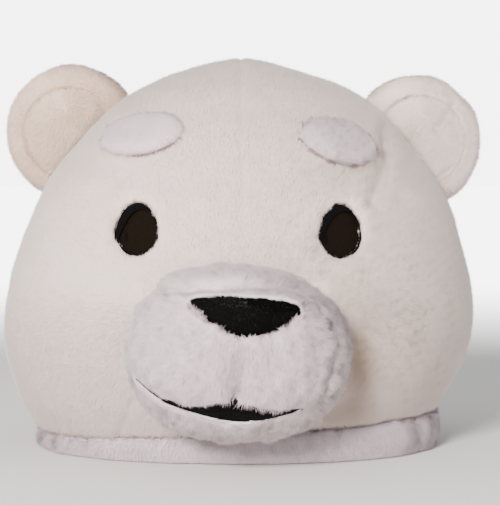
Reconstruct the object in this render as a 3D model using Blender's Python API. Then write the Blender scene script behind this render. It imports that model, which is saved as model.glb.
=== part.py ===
"""Plush bear mask: a padded, hollow head that stands on its neck band.

Metres, +Z up. The face looks along -Y, and left and right are as someone facing the mask sees them.
"""

import math

import bmesh
import bpy
from mathutils import Matrix, Vector
from mathutils.bvhtree import BVHTree

# Clearances between neighbouring pieces
GAP = 0.0003
SEAT_GAP = 0.0004

# Head
HEAD_WIDTH = 0.382
HEAD_DEPTH = 0.306
HEAD_HEIGHT = 0.3108
HEAD_WALL = 0.008
CROWN_SEAM_DEPTH = 0.0025
CROWN_SEAM_HALF_WIDTH = 0.007

# Neck band, lower at the left than at the right, as its seam slants
BAND_LEFT_HEIGHT = 0.014
BAND_RIGHT_HEIGHT = 0.034
BAND_THICKNESS = 0.011
BAND_PUFF = 0.003
GATHER_DEPTH = 0.0012
GATHERS = 14

# Ears: a padded disc with a stitched inner circle
EAR_RADIUS = 0.0537
EAR_THICKNESS = 0.028
EAR_SET_BACK = 0.014
EAR_TURN = math.radians(5)

# Brow pads
BROW_THICKNESS = 0.0065
LEFT_BROW_LENGTH = 0.066
LEFT_BROW_HEIGHT = 0.029
LEFT_BROW_TILT = math.radians(8)
RIGHT_BROW_LENGTH = 0.059
RIGHT_BROW_HEIGHT = 0.028
RIGHT_BROW_TILT = math.radians(-17)

# Eyes: an egg-shaped hole, a black rim in it and a mesh screen behind the rim
EYE_WIDTH = 0.0335
EYE_HEIGHT = 0.041
EYE_NARROWING = 0.16
RIM_RECESS = 0.0012
RIM_THICKNESS = 0.0022
RIM_NARROW = 0.0018
RIM_WIDE = 0.0068
RIM_WIDE_AT = math.radians(130)
SCREEN_THICKNESS = 0.0018

# Muzzle
MUZZLE_WIDTH = 0.158
MUZZLE_HEIGHT = 0.122
MUZZLE_REACH = 0.075
MUZZLE_WALL = 0.008
MUZZLE_ROLL = math.radians(-5)
MUZZLE_SQUARENESS = 2.2
BREATHING_HOLE_SHARE = 0.62
CHIN_SET_BACK = 0.012
LIP_PUFF = 0.005
PHILTRUM_DEPTH = 0.005

# Mouth slit and its felt
MOUTH_WIDTH = 0.121
MOUTH_HEIGHT = 0.030
MOUTH_LEAST_OPENING = 0.0024
FELT_RECESS = 0.0030
FELT_THICKNESS = 0.0020

# Nose patch
NOSE_WIDTH = 0.078
NOSE_HEIGHT = 0.0290
NOSE_THICKNESS = 0.0050
NOSE_EDGE = 0.0012

# Mesh counts
HEAD_COLUMNS = 44
HEAD_RINGS = 20
MUZZLE_COLUMNS = 36
EAR_COLUMNS = 28
EYE_COLUMNS = 20
BROW_COLUMNS = 20
SINK = 0.004

# Places on the head, as shares of half its width and of its height
PLACES = {
    # piece: across, up
    "ear_left": (-0.728, 0.816),
    "ear_right": (0.750, 0.789),
    "brow_left": (-0.399, 0.800),
    "brow_right": (0.392, 0.780),
    "eye_left": (-0.409, 0.571),
    "eye_right": (0.390, 0.565),
    "muzzle": (-0.018, 0.283),
}

# Places on the muzzle, as shares of half its width and of half its height from its middle
MUZZLE_PLACES = {
    # piece: across the middle, up to the lower edge
    "nose": (0.085, 0.275),
    "mouth": (-0.160, -0.752),
}

# Head sections from the neck seam to the crown, as shares of the height, of half the width and of half
# the depth, with the squareness of the outline seen from above (2 is an ellipse)
HEAD_SECTIONS = (
    # up, left, right, front, back, squareness
    (0.077, 0.862, 0.834, 0.815, 0.815, 2.20),
    (0.126, 0.915, 0.862, 0.862, 0.882, 2.25),
    (0.190, 0.966, 0.918, 0.910, 0.938, 2.30),
    (0.274, 1.000, 0.959, 0.941, 0.980, 2.35),
    (0.360, 0.987, 0.976, 0.941, 1.000, 2.35),
    (0.450, 0.961, 0.955, 0.922, 0.993, 2.35),
    (0.531, 0.924, 0.922, 0.889, 0.974, 2.35),
    (0.611, 0.869, 0.887, 0.856, 0.961, 2.30),
    (0.679, 0.814, 0.826, 0.817, 0.922, 2.25),
    (0.775, 0.702, 0.712, 0.725, 0.830, 2.15),
    (0.853, 0.580, 0.602, 0.614, 0.706, 2.05),
    (0.914, 0.452, 0.478, 0.484, 0.562, 2.00),
    (0.952, 0.316, 0.308, 0.360, 0.425, 2.00),
    (0.980, 0.180, 0.158, 0.248, 0.294, 2.00),
    (0.995, 0.090, 0.075, 0.131, 0.157, 2.00),
    (1.000, 0.000, 0.000, 0.000, 0.000, 2.00),
)

# Soft hollows in the face: place as shares of half the head's width and of its height, half sizes
# as shares of half the width, turn in degrees, and depth as a share of half the depth
FACE_HOLLOWS = (
    # across, up, half_width, half_height, turn, depth
    (0.530, 0.725, 0.070, 0.210, 8, 0.042),
    (-0.410, 0.575, 0.150, 0.170, 0, 0.018),
    (0.390, 0.570, 0.150, 0.170, 0, 0.018),
)

# Muzzle sections from inside the face to the tip, as shares of the outline and of the reach
MUZZLE_SECTIONS = (
    # outline, reach
    (0.970, -0.42),
    (1.000, -0.14),
    (1.020, 0.12),
    (1.020, 0.34),
    (0.985, 0.54),
    (0.910, 0.71),
    (0.790, 0.84),
    (0.640, 0.925),
    (0.470, 0.970),
    (0.280, 0.992),
    (0.110, 1.000),
)

# Mouth stations from left to right: shares of half the width, and of the height for both edges
MOUTH_STATIONS = (
    # across, upper, lower
    (-1.00, 1.00, 0.96),
    (-0.82, 0.80, 0.67),
    (-0.63, 0.56, 0.43),
    (-0.39, 0.44, 0.28),
    (-0.16, 0.38, 0.16),
    (0.00, 0.48, 0.07),
    (0.16, 0.55, 0.01),
    (0.31, 0.49, 0.00),
    (0.46, 0.40, 0.03),
    (0.63, 0.32, 0.09),
    (0.80, 0.28, 0.17),
    (1.00, 0.32, 0.28),
)

# Nose stations from left to right: shares of half the width, and of the height for both edges
NOSE_STATIONS = (
    # across, upper, lower
    (-1.00, 0.88, 0.80),
    (-0.87, 0.95, 0.61),
    (-0.64, 0.99, 0.38),
    (-0.42, 1.00, 0.19),
    (-0.16, 0.98, 0.03),
    (0.08, 0.93, 0.00),
    (0.37, 0.92, 0.09),
    (0.69, 0.88, 0.26),
    (0.93, 0.76, 0.45),
    (1.00, 0.67, 0.56),
)

# Ear profile from the middle of the front round the rim to the middle of the back
EAR_PROFILE = (
    # radius, depth: shares of the radius and of the thickness
    (0.00, -0.30),
    (0.30, -0.32),
    (0.53, -0.33),
    (0.66, -0.24),
    (0.77, -0.41),
    (0.89, -0.42),
    (0.98, -0.20),
    (1.00, 0.06),
    (0.95, 0.32),
    (0.78, 0.46),
    (0.45, 0.50),
    (0.00, 0.50),
)

# Band profile, anticlockwise from the outer lower edge: how far in of the outline, and the height
BAND_PROFILE = (
    # inward, up: shares of the thickness and of the band's height there
    (0.22, 0.00),
    (0.04, 0.20),
    (0.00, 0.55),
    (0.10, 1.00),
    (0.85, 1.00),
    (1.00, 0.50),
    (0.90, 0.00),
)


def clear_scene():
    """Removes whatever the file opened with."""
    for old in list(bpy.data.objects):
        bpy.data.objects.remove(old, do_unlink=True)


def finish(name, colour, roughness):
    """A Principled material."""
    material = bpy.data.materials.new(name)
    material.use_nodes = True
    shader = material.node_tree.nodes["Principled BSDF"]
    shader.inputs["Base Color"].default_value = (*colour, 1.0)
    shader.inputs["Roughness"].default_value = roughness
    shader.inputs["Metallic"].default_value = 0.0
    return material


def add_piece(name, bm, material=None, guide=False):
    """Turns a bmesh into an object with its faces outwards; a guide is hidden and only cuts."""
    bmesh.ops.recalc_face_normals(bm, faces=bm.faces)
    mesh = bpy.data.meshes.new(name)
    bm.to_mesh(mesh)
    bm.free()
    piece = bpy.data.objects.new(name, mesh)
    bpy.context.scene.collection.objects.link(piece)
    mesh.shade_smooth()
    mesh.set_sharp_from_angle(angle=math.radians(50))
    if material:
        mesh.materials.append(material)
    if guide:
        piece.hide_render = True
        piece.display_type = "WIRE"
    return piece


def subtract(piece, guide):
    """Cuts a guide's shape out of a piece."""
    cut = piece.modifiers.new("cut by " + guide.name, "BOOLEAN")
    cut.operation = "DIFFERENCE"
    cut.solver = "EXACT"
    cut.object = guide


def ring_of(bm, points):
    return [bm.verts.new(point) for point in points]


def join_rings(bm, rings, closed=True):
    """Triangles, with alike diagonals, from each ring to the next; closed rings run right round."""
    for low, high in zip(rings, rings[1:]):
        for i in range(len(low) - (0 if closed else 1)):
            j = (i + 1) % len(low)
            bm.faces.new((low[i], low[j], high[j]))
            bm.faces.new((low[i], high[j], high[i]))


def fan(bm, ring, point):
    """Closes a ring with triangles to one point."""
    tip = bm.verts.new(point)
    for i, vertex in enumerate(ring):
        bm.faces.new((vertex, ring[(i + 1) % len(ring)], tip))
    return tip


def smooth_row(table, place):
    """A table's row at a place between its rows, on a smooth curve through them."""
    last = len(table) - 1
    start = min(int(place), last - 1)
    t = place - start
    before, low, high, after = (table[min(max(start + k, 0), last)] for k in (-1, 0, 1, 2))
    return [
        0.5 * (2 * b + (c - a) * t + (2 * a - 5 * b + 4 * c - d) * t**2 + (3 * b - a - 3 * c + d) * t**3)
        for a, b, c, d in zip(before, low, high, after)
    ]


def place_on_head(piece):
    across, up = PLACES[piece]
    return across * HEAD_WIDTH / 2, up * HEAD_HEIGHT


def place_on_muzzle(piece):
    across, up = MUZZLE_PLACES[piece]
    middle, height = place_on_head("muzzle")
    return middle + across * MUZZLE_WIDTH / 2, height + up * MUZZLE_HEIGHT / 2


def signed_power(value, power):
    return math.copysign(abs(value) ** power, value)


def smooth_step(value):
    value = min(max(value, 0.0), 1.0)
    return value * value * (3 - 2 * value)


def seam_height(x):
    """Height of the slanting seam between the neck band and the head."""
    slope = (BAND_RIGHT_HEIGHT - BAND_LEFT_HEIGHT) / HEAD_WIDTH
    return (BAND_LEFT_HEIGHT + BAND_RIGHT_HEIGHT) / 2 + slope * x


def face_hollow(x, z):
    """How far the soft hollows push the face in."""
    depth = 0.0
    half = HEAD_WIDTH / 2
    for across, up, half_width, half_height, turn, deep in FACE_HOLLOWS:
        dx = x - across * half
        dz = z - up * HEAD_HEIGHT
        angle = math.radians(turn)
        u = (dx * math.cos(angle) + dz * math.sin(angle)) / (half_width * half)
        v = (dz * math.cos(angle) - dx * math.sin(angle)) / (half_height * half)
        depth += deep * HEAD_DEPTH / 2 * math.exp(-u * u - v * v)
    return depth


def head_point(place, angle):
    """A point of the head's skin; the angle starts at the face and turns to the right."""
    up, left, right, front, back, squareness = smooth_row(HEAD_SECTIONS, place)
    power = 2 / squareness
    side = right if angle_is_right(angle) else left
    deep = front if math.cos(angle) > 0 else back
    x = max(side, 0) * HEAD_WIDTH / 2 * signed_power(math.sin(angle), power)
    y = -max(deep, 0) * HEAD_DEPTH / 2 * signed_power(math.cos(angle), power)
    z = up * HEAD_HEIGHT
    middle = seam_height(0)
    fade = max(0.0, 1 - (z - HEAD_SECTIONS[0][0] * HEAD_HEIGHT) / (HEAD_HEIGHT * 0.3)) ** 2
    z += fade * (seam_height(x) + SEAT_GAP - HEAD_SECTIONS[0][0] * HEAD_HEIGHT)
    if y < 0 and z > middle:
        y += face_hollow(x, z) * min(1.0, -y / (HEAD_DEPTH * 0.2))
    return Vector((x, y, z))


def angle_is_right(angle):
    return math.sin(angle) > 0


def column_angles():
    """Even columns, with two more beside the crown seam at the front and at the back."""
    even = [2 * math.pi * i / HEAD_COLUMNS for i in range(HEAD_COLUMNS)]
    beside = CROWN_SEAM_HALF_WIDTH / (HEAD_WIDTH / 2)
    extra = [middle + side * beside for middle in (0, math.pi) for side in (-1, 1)]
    return sorted(angle % (2 * math.pi) for angle in even + extra)


def head_rings():
    """Rings of the head's skin from the seam up, with the crown seam drawn in."""
    angles = column_angles()
    last = len(HEAD_SECTIONS) - 1
    rings = []
    for level in range(HEAD_RINGS):
        place = last * level / HEAD_RINGS
        ring = []
        for angle in angles:
            point = head_point(place, angle)
            on_seam = abs(math.sin(angle)) < 1e-6
            if on_seam:
                drawn_in = CROWN_SEAM_DEPTH * smooth_step((point.z / HEAD_HEIGHT - 0.50) / 0.15)
                point.y -= math.copysign(min(drawn_in, abs(point.y)), point.y)
            ring.append(point)
        rings.append(ring)
    return rings


def crown_point():
    return Vector((0, 0, HEAD_HEIGHT))


def head_form(name, grown):
    """The head as one solid guide, grown all over by a clearance."""
    bm = bmesh.new()
    rings = [ring_of(bm, ring) for ring in head_rings()]
    join_rings(bm, rings)
    fan(bm, rings[-1], crown_point())
    low = ring_of(bm, [Vector((p.co.x, p.co.y, 0)) for p in rings[0]])
    join_rings(bm, [rings[0], low])
    fan(bm, low, Vector((0, 0, 0)))
    bmesh.ops.recalc_face_normals(bm, faces=bm.faces)
    bm.normal_update()
    for vertex in bm.verts:
        vertex.co += vertex.normal * grown
    return add_piece(name, bm, guide=True)


def outline_guide(name, points, front, back):
    """A closed outline in X and Z, carried along Y, that cuts a hole."""
    bm = bmesh.new()
    near = ring_of(bm, [Vector((x, front, z)) for x, z in points])
    face = bm.faces.new(near)
    grown = bmesh.ops.extrude_face_region(bm, geom=[face])["geom"]
    far = [item for item in grown if isinstance(item, bmesh.types.BMVert)]
    bmesh.ops.translate(bm, verts=far, vec=(0, back - front, 0))
    bmesh.ops.triangulate(bm, faces=[f for f in bm.faces if len(f.verts) > 4])
    return add_piece(name, bm, guide=True)


def tree_of(piece):
    """A search tree of a guide's surface, to lay pads on it."""
    bm = bmesh.new()
    bm.from_mesh(piece.data)
    tree = BVHTree.FromBMesh(bm)
    bm.free()
    return tree


def surface_y(tree, x, z):
    """Where a line along +Y first meets the surface."""
    spot, _, _, _ = tree.ray_cast(Vector((x, -1.0, z)), Vector((0, 1, 0)))
    return spot.y if spot else 0.0


def panel_block(name, left, front):
    """A quarter of the space round the head, a gap short of the crown seam and of the side seam."""
    bm = bmesh.new()
    bmesh.ops.create_cube(bm, size=1)
    size = Vector((HEAD_WIDTH, HEAD_DEPTH, 2 * HEAD_HEIGHT))
    bmesh.ops.scale(bm, vec=size, verts=bm.verts)
    across = (HEAD_WIDTH + GAP) / 2 * (-1 if left else 1)
    deep = EAR_SET_BACK + (HEAD_DEPTH + GAP) / 2 * (-1 if front else 1)
    bmesh.ops.translate(bm, verts=bm.verts, vec=(across, deep, HEAD_HEIGHT / 2))
    return add_piece(name, bm, guide=True)


def build_head_panel(name, left, front, material, holes):
    """A panel of the padded wall: outer skin, inner skin a wall's thickness in, and a rim along the seam."""
    bm = bmesh.new()
    outer = [ring_of(bm, ring) for ring in head_rings()]
    join_rings(bm, outer)
    crown = fan(bm, outer[-1], crown_point())
    bmesh.ops.recalc_face_normals(bm, faces=bm.faces)
    bm.normal_update()
    inner = []
    for level, ring in enumerate(outer):
        points = []
        for vertex in ring:
            inward = -vertex.normal
            if level == 0:
                inward.z = 0
            point = vertex.co + inward.normalized() * HEAD_WALL
            if level == 0:
                point.z = seam_height(point.x) + SEAT_GAP
            points.append(point)
        inner.append(ring_of(bm, points))
    join_rings(bm, inner)
    fan(bm, inner[-1], crown.co - Vector((0, 0, HEAD_WALL)))
    join_rings(bm, [outer[0], inner[0]])
    panel = add_piece(name, bm, material)
    for guide in holes:
        subtract(panel, guide)
    keep = panel.modifiers.new("cut at the seams", "BOOLEAN")
    keep.operation = "INTERSECT"
    keep.solver = "EXACT"
    keep.object = panel_block(name + " block", left, front)
    return panel


def band_outline(angle, inward):
    """A point of the neck band's outline, gathered a little, a distance in from the head's seam."""
    _, left, right, front, back, squareness = HEAD_SECTIONS[0]
    power = 2 / squareness
    side = right if angle_is_right(angle) else left
    deep = front if math.cos(angle) > 0 else back
    gather = GATHER_DEPTH * math.sin(GATHERS * angle) * math.cos(3 * angle)
    half_x = side * HEAD_WIDTH / 2 + BAND_PUFF / 2 + gather - inward
    half_y = deep * HEAD_DEPTH / 2 + BAND_PUFF / 2 + gather - inward
    return half_x * signed_power(math.sin(angle), power), -half_y * signed_power(math.cos(angle), power)


def build_neck_band(material):
    bm = bmesh.new()
    rings = []
    for inward, up in BAND_PROFILE:
        points = []
        for column in range(HEAD_COLUMNS):
            x, y = band_outline(2 * math.pi * column / HEAD_COLUMNS, inward * BAND_THICKNESS)
            points.append(Vector((x, y, up * seam_height(x))))
        rings.append(ring_of(bm, points))
    join_rings(bm, rings + rings[:1])
    return add_piece("neck_band", bm, material)


def build_ear(name, turn, material, head_guide):
    """A padded disc, dished inside its stitched circle, and cut away where the head is."""
    out, up = place_on_head(name)
    bm = bmesh.new()
    rings = []
    for radius, depth in EAR_PROFILE[1:-1]:
        points = []
        for column in range(EAR_COLUMNS):
            angle = 2 * math.pi * column / EAR_COLUMNS
            r = radius * EAR_RADIUS
            points.append(Vector((r * math.cos(angle), depth * EAR_THICKNESS, r * math.sin(angle))))
        rings.append(ring_of(bm, points))
    join_rings(bm, rings)
    fan(bm, rings[0], Vector((0, EAR_PROFILE[0][1] * EAR_THICKNESS, 0)))
    fan(bm, rings[-1], Vector((0, EAR_PROFILE[-1][1] * EAR_THICKNESS, 0)))
    place = Matrix.Translation((out, EAR_SET_BACK, up)) @ Matrix.Rotation(turn, 4, "Z")
    bmesh.ops.transform(bm, matrix=place, verts=bm.verts)
    ear = add_piece(name, bm, material)
    subtract(ear, head_guide)
    return ear


def build_brow(name, length, height, tilt, material, tree, head_guide):
    """An oval pad laid on the forehead: a crowned front over a back that is cut by the head."""
    out, up = place_on_head(name)
    bm = bmesh.new()
    fronts = []
    backs = []
    for share, crown in ((1.0, 0.10), (0.86, 0.62), (0.50, 0.93)):
        for rings, lift in ((fronts, crown * BROW_THICKNESS), (backs, -SINK)):
            points = []
            for column in range(BROW_COLUMNS):
                angle = 2 * math.pi * column / BROW_COLUMNS
                u = share * length / 2 * math.cos(angle)
                v = share * height / 2 * math.sin(angle)
                x = out + u * math.cos(tilt) - v * math.sin(tilt)
                z = up + u * math.sin(tilt) + v * math.cos(tilt)
                points.append(Vector((x, surface_y(tree, x, z) - lift, z)))
            rings.append(ring_of(bm, points))
    join_rings(bm, fronts)
    join_rings(bm, backs)
    join_rings(bm, [fronts[0], backs[0]])
    middle_y = surface_y(tree, out, up)
    fan(bm, fronts[-1], Vector((out, middle_y - BROW_THICKNESS, up)))
    fan(bm, backs[-1], Vector((out, middle_y + SINK, up)))
    brow = add_piece(name, bm, material)
    subtract(brow, head_guide)
    return brow


def eye_outline(out, up, inset):
    """The egg of an eye, narrower at its top, drawn in by an inset that may depend on the angle."""
    points = []
    for column in range(EYE_COLUMNS):
        angle = 2 * math.pi * column / EYE_COLUMNS
        drawn_in = inset(angle) if callable(inset) else inset
        narrowing = 1 - EYE_NARROWING * math.sin(angle)
        x = (EYE_WIDTH / 2 - drawn_in) * math.cos(angle) * narrowing
        z = (EYE_HEIGHT / 2 - drawn_in) * math.sin(angle)
        points.append((out + x, up + z))
    return points


def rim_width(angle):
    """The rim is a crescent: widest at its upper left."""
    share = smooth_step((math.cos(angle - RIM_WIDE_AT) - 0.1) / 0.9)
    return RIM_NARROW + (RIM_WIDE - RIM_NARROW) * share


def build_eye_rim(name, out, up, material, tree):
    bm = bmesh.new()
    outer = eye_outline(out, up, GAP)
    inner = eye_outline(out, up, rim_width)
    rings = []
    for outline, recess in (
        (outer, RIM_RECESS),
        (inner, RIM_RECESS),
        (inner, RIM_RECESS + RIM_THICKNESS),
        (outer, RIM_RECESS + RIM_THICKNESS),
    ):
        rings.append(ring_of(bm, [Vector((x, surface_y(tree, x, z) + recess, z)) for x, z in outline]))
    join_rings(bm, rings + rings[:1])
    return add_piece(name, bm, material)


def build_eye_screen(name, out, up, material, tree):
    """A thin cupped plate of mesh right behind the rim."""
    bm = bmesh.new()
    front = RIM_RECESS + RIM_THICKNESS + SEAT_GAP
    rings = []
    for inset, recess in (
        (EYE_WIDTH / 4, front),
        (GAP, front),
        (GAP, front + SCREEN_THICKNESS),
        (EYE_WIDTH / 4, front + SCREEN_THICKNESS),
    ):
        outline = eye_outline(out, up, inset)
        rings.append(ring_of(bm, [Vector((x, surface_y(tree, x, z) + recess, z)) for x, z in outline]))
    join_rings(bm, rings)
    middle = surface_y(tree, out, up) + front
    fan(bm, rings[0], Vector((out, middle, up)))
    fan(bm, rings[-1], Vector((out, middle + SCREEN_THICKNESS, up)))
    return add_piece(name, bm, material)


def mouth_line(across):
    """Height of the mouth on the muzzle, both as shares of half the muzzle's size."""
    return -0.66 + 0.50 * across * across


def muzzle_point(outline, reach, angle):
    """A point of the muzzle's skin; the angle starts at the top and turns to the right."""
    power = 2 / MUZZLE_SQUARENESS
    across = outline * signed_power(math.sin(angle), power)
    up = outline * signed_power(math.cos(angle), power)
    forward = MUZZLE_REACH * reach
    if reach > 0:
        chin = smooth_step((mouth_line(across) + 0.08 - up) / 0.22)
        lips = sum(
            math.exp(-((across - side * 0.36) ** 2) / 0.10 - (up + 0.36) ** 2 / 0.07)
            for side in (-1, 1)
        )
        valley = math.exp(-((across / 0.08) ** 2)) * smooth_step((0.22 - up) / 0.30)
        valley *= smooth_step((up - mouth_line(across) + 0.2) / 0.2)
        forward += reach * (LIP_PUFF * lips - CHIN_SET_BACK * chin - PHILTRUM_DEPTH * valley)
    x = across * MUZZLE_WIDTH / 2
    z = up * MUZZLE_HEIGHT / 2
    turned_x = x * math.cos(MUZZLE_ROLL) - z * math.sin(MUZZLE_ROLL)
    turned_z = x * math.sin(MUZZLE_ROLL) + z * math.cos(MUZZLE_ROLL)
    middle, height = place_on_head("muzzle")
    return Vector((middle + turned_x, muzzle_base_y() - forward, height + turned_z))


def muzzle_base_y():
    """The front of the face at the height of the muzzle's middle."""
    low = 0.0
    high = len(HEAD_SECTIONS) - 1.0
    for _ in range(30):
        place = (low + high) / 2
        if smooth_row(HEAD_SECTIONS, place)[0] < PLACES["muzzle"][1]:
            low = place
        else:
            high = place
    return -smooth_row(HEAD_SECTIONS, low)[3] * HEAD_DEPTH / 2


def muzzle_rings(bm):
    rings = []
    for outline, reach in MUZZLE_SECTIONS:
        angles = [2 * math.pi * i / MUZZLE_COLUMNS for i in range(MUZZLE_COLUMNS)]
        rings.append(ring_of(bm, [muzzle_point(outline, reach, angle) for angle in angles]))
    return rings


def muzzle_form(name, grown):
    """The muzzle as one solid guide, grown by a clearance."""
    bm = bmesh.new()
    rings = muzzle_rings(bm)
    join_rings(bm, rings)
    fan(bm, rings[-1], muzzle_point(0.0, 1.0, 0.0))
    fan(bm, rings[0], muzzle_point(0.0, MUZZLE_SECTIONS[0][1], 0.0))
    bmesh.ops.recalc_face_normals(bm, faces=bm.faces)
    bm.normal_update()
    for vertex in bm.verts:
        vertex.co += vertex.normal * grown
    return add_piece(name, bm, guide=True)


def build_muzzle(material, head_guide, mouth_guide):
    """A bowl open towards the face, cut to the face's shape and slit for the mouth."""
    bm = bmesh.new()
    rings = muzzle_rings(bm)
    join_rings(bm, rings)
    fan(bm, rings[-1], muzzle_point(0.0, 1.0, 0.0))
    muzzle = add_piece("muzzle", bm, material)
    wall = muzzle.modifiers.new("padded wall", "SOLIDIFY")
    wall.thickness = MUZZLE_WALL
    wall.offset = -1
    wall.use_even_offset = False
    subtract(muzzle, head_guide)
    subtract(muzzle, mouth_guide)
    return muzzle


def breathing_hole_guide():
    """The hole in the face behind the muzzle's hollow."""
    points = []
    for i in range(MUZZLE_COLUMNS):
        point = muzzle_point(BREATHING_HOLE_SHARE, 0.0, 2 * math.pi * i / MUZZLE_COLUMNS)
        points.append((point.x, point.z))
    return outline_guide("breathing hole", points, -HEAD_DEPTH, 0)


def stations(table, piece, width, height, inset, least):
    """Places across a strip on the muzzle with its two edges' heights, drawn in by an inset."""
    middle, low = place_on_muzzle(piece)
    rows = []
    for across, upper, lower in table:
        x = middle + across * (width / 2 - inset)
        centre = low + (upper + lower) / 2 * height
        half = max((upper - lower) * height, least) / 2 - inset
        rows.append((x, centre + half, centre - half))
    return rows


def mouth_guide():
    rows = stations(MOUTH_STATIONS, "mouth", MOUTH_WIDTH, MOUTH_HEIGHT, 0, MOUTH_LEAST_OPENING)
    points = [(x, lower) for x, _, lower in rows] + [(x, upper) for x, upper, _ in reversed(rows)]
    front = muzzle_base_y() - 1.5 * MUZZLE_REACH
    return outline_guide("mouth slit", points, front, muzzle_base_y() - 0.15 * MUZZLE_REACH)


def strip(rows, levels, tree, front_lift, back_lift):
    """A closed pad over stations: a front and a back grid laid on a surface, joined round the edge."""
    bm = bmesh.new()
    grids = []
    for lift in (front_lift, back_lift):
        grid = []
        for index, (x, upper, lower) in enumerate(rows):
            along = 2 * index / (len(rows) - 1) - 1
            points = []
            for level in range(levels + 1):
                share = level / levels
                z = lower + (upper - lower) * share
                points.append(Vector((x, surface_y(tree, x, z) - lift(along, 2 * share - 1), z)))
            grid.append(ring_of(bm, points))
        join_rings(bm, grid, closed=False)
        grids.append(grid)
    front, back = grids
    edges = []
    for grid in (front, back):
        low_edge = [column[0] for column in grid]
        high_edge = [column[-1] for column in reversed(grid)]
        edges.append(low_edge + grid[-1][1:-1] + high_edge + grid[0][-2:0:-1])
    join_rings(bm, edges)
    return bm


def build_mouth_lining(material, tree):
    """Black felt set back in the mouth slit."""
    rows = stations(MOUTH_STATIONS, "mouth", MOUTH_WIDTH, MOUTH_HEIGHT, SEAT_GAP, MOUTH_LEAST_OPENING)
    bm = strip(
        rows,
        2,
        tree,
        lambda along, up: -FELT_RECESS,
        lambda along, up: -FELT_RECESS - FELT_THICKNESS,
    )
    return add_piece("mouth_lining", bm, material)


def build_nose(material, tree, muzzle_guide):
    """A black pad on the muzzle's upper front, crowned in the middle."""
    rows = stations(NOSE_STATIONS, "nose", NOSE_WIDTH, NOSE_HEIGHT, 0, 0)

    def crowned(along, up):
        return NOSE_EDGE + (NOSE_THICKNESS - NOSE_EDGE) * (1 - along**4) * (1 - up**4)

    bm = strip(rows, 4, tree, crowned, lambda along, up: -SINK)
    nose = add_piece("nose", bm, material)
    subtract(nose, muzzle_guide)
    return nose


def stand_on_origin():
    """Centres the pieces over the origin, standing at height zero, by one empty that carries them all."""
    graph = bpy.context.evaluated_depsgraph_get()
    corners = []
    for piece in bpy.data.objects:
        if not piece.hide_render:
            seen = piece.evaluated_get(graph)
            corners += [seen.matrix_world @ vertex.co for vertex in seen.data.vertices]
    low = Vector(min(corner[axis] for corner in corners) for axis in range(3))
    high = Vector(max(corner[axis] for corner in corners) for axis in range(3))
    carrier = bpy.data.objects.new("mask", None)
    for piece in list(bpy.data.objects):
        if piece is not carrier:
            piece.parent = carrier
    bpy.context.scene.collection.objects.link(carrier)
    carrier.location = (-(low.x + high.x) / 2, -(low.y + high.y) / 2, -low.z)


def build():
    clear_scene()
    white_plush = finish("white plush", (0.84, 0.80, 0.80), 0.95)
    band_plush = finish("white band plush", (0.78, 0.74, 0.75), 0.95)
    black_plush = finish("black plush", (0.010, 0.010, 0.010), 0.9)
    black_felt = finish("black felt", (0.008, 0.008, 0.008), 0.95)
    dark_mesh = finish("dark brown mesh", (0.020, 0.014, 0.008), 0.7)

    head_guide = head_form("head form", SEAT_GAP)
    muzzle_guide = muzzle_form("muzzle form", SEAT_GAP)
    head_tree = tree_of(head_guide)
    muzzle_tree = tree_of(muzzle_guide)

    eyes = [(side, *place_on_head("eye_" + side)) for side in ("left", "right")]
    eye_holes = [
        outline_guide("eye hole " + side, eye_outline(out, up, 0), -HEAD_DEPTH, 0) for side, out, up in eyes
    ]
    left_eye_hole, right_eye_hole = eye_holes
    breathing_hole = breathing_hole_guide()
    build_head_panel("face_left", True, True, white_plush, (left_eye_hole, breathing_hole))
    build_head_panel("face_right", False, True, white_plush, (right_eye_hole, breathing_hole))
    build_head_panel("back_left", True, False, white_plush, ())
    build_head_panel("back_right", False, False, white_plush, ())
    build_neck_band(band_plush)
    for side, out, up in eyes:
        build_eye_rim("eye_rim_" + side, out, up, black_felt, head_tree)
        build_eye_screen("eye_screen_" + side, out, up, dark_mesh, head_tree)

    build_ear("ear_left", -EAR_TURN, white_plush, head_guide)
    build_ear("ear_right", EAR_TURN, white_plush, head_guide)
    for name, length, height, tilt in (
        ("brow_left", LEFT_BROW_LENGTH, LEFT_BROW_HEIGHT, LEFT_BROW_TILT),
        ("brow_right", RIGHT_BROW_LENGTH, RIGHT_BROW_HEIGHT, RIGHT_BROW_TILT),
    ):
        build_brow(name, length, height, tilt, white_plush, head_tree, head_guide)

    build_muzzle(white_plush, head_guide, mouth_guide())
    build_mouth_lining(black_felt, muzzle_tree)
    build_nose(black_plush, muzzle_tree, muzzle_guide)
    stand_on_origin()


build()
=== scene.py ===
import math

import bmesh
import bpy
import numpy as np
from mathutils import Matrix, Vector
from mathutils.bvhtree import BVHTree


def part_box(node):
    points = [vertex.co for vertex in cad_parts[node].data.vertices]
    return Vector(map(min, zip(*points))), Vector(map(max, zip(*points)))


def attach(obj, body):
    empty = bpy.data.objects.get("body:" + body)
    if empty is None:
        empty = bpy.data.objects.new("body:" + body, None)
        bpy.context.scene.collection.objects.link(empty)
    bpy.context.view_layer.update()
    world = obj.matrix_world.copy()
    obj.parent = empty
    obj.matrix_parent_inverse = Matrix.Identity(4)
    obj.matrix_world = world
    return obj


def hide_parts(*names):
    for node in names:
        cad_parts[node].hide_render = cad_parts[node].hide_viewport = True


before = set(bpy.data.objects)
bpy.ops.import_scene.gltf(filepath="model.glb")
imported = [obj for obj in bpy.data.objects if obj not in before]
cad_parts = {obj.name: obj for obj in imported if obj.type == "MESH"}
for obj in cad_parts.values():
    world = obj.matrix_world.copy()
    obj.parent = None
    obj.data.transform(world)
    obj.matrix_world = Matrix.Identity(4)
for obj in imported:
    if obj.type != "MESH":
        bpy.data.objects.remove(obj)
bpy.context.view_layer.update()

# The head: white plush on foam, sewn from panels round one hollow shell. Its crown seam runs from the
# brow over the top to the nape, a dart pinches the right brow, and the pile is short and combed down.


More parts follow.
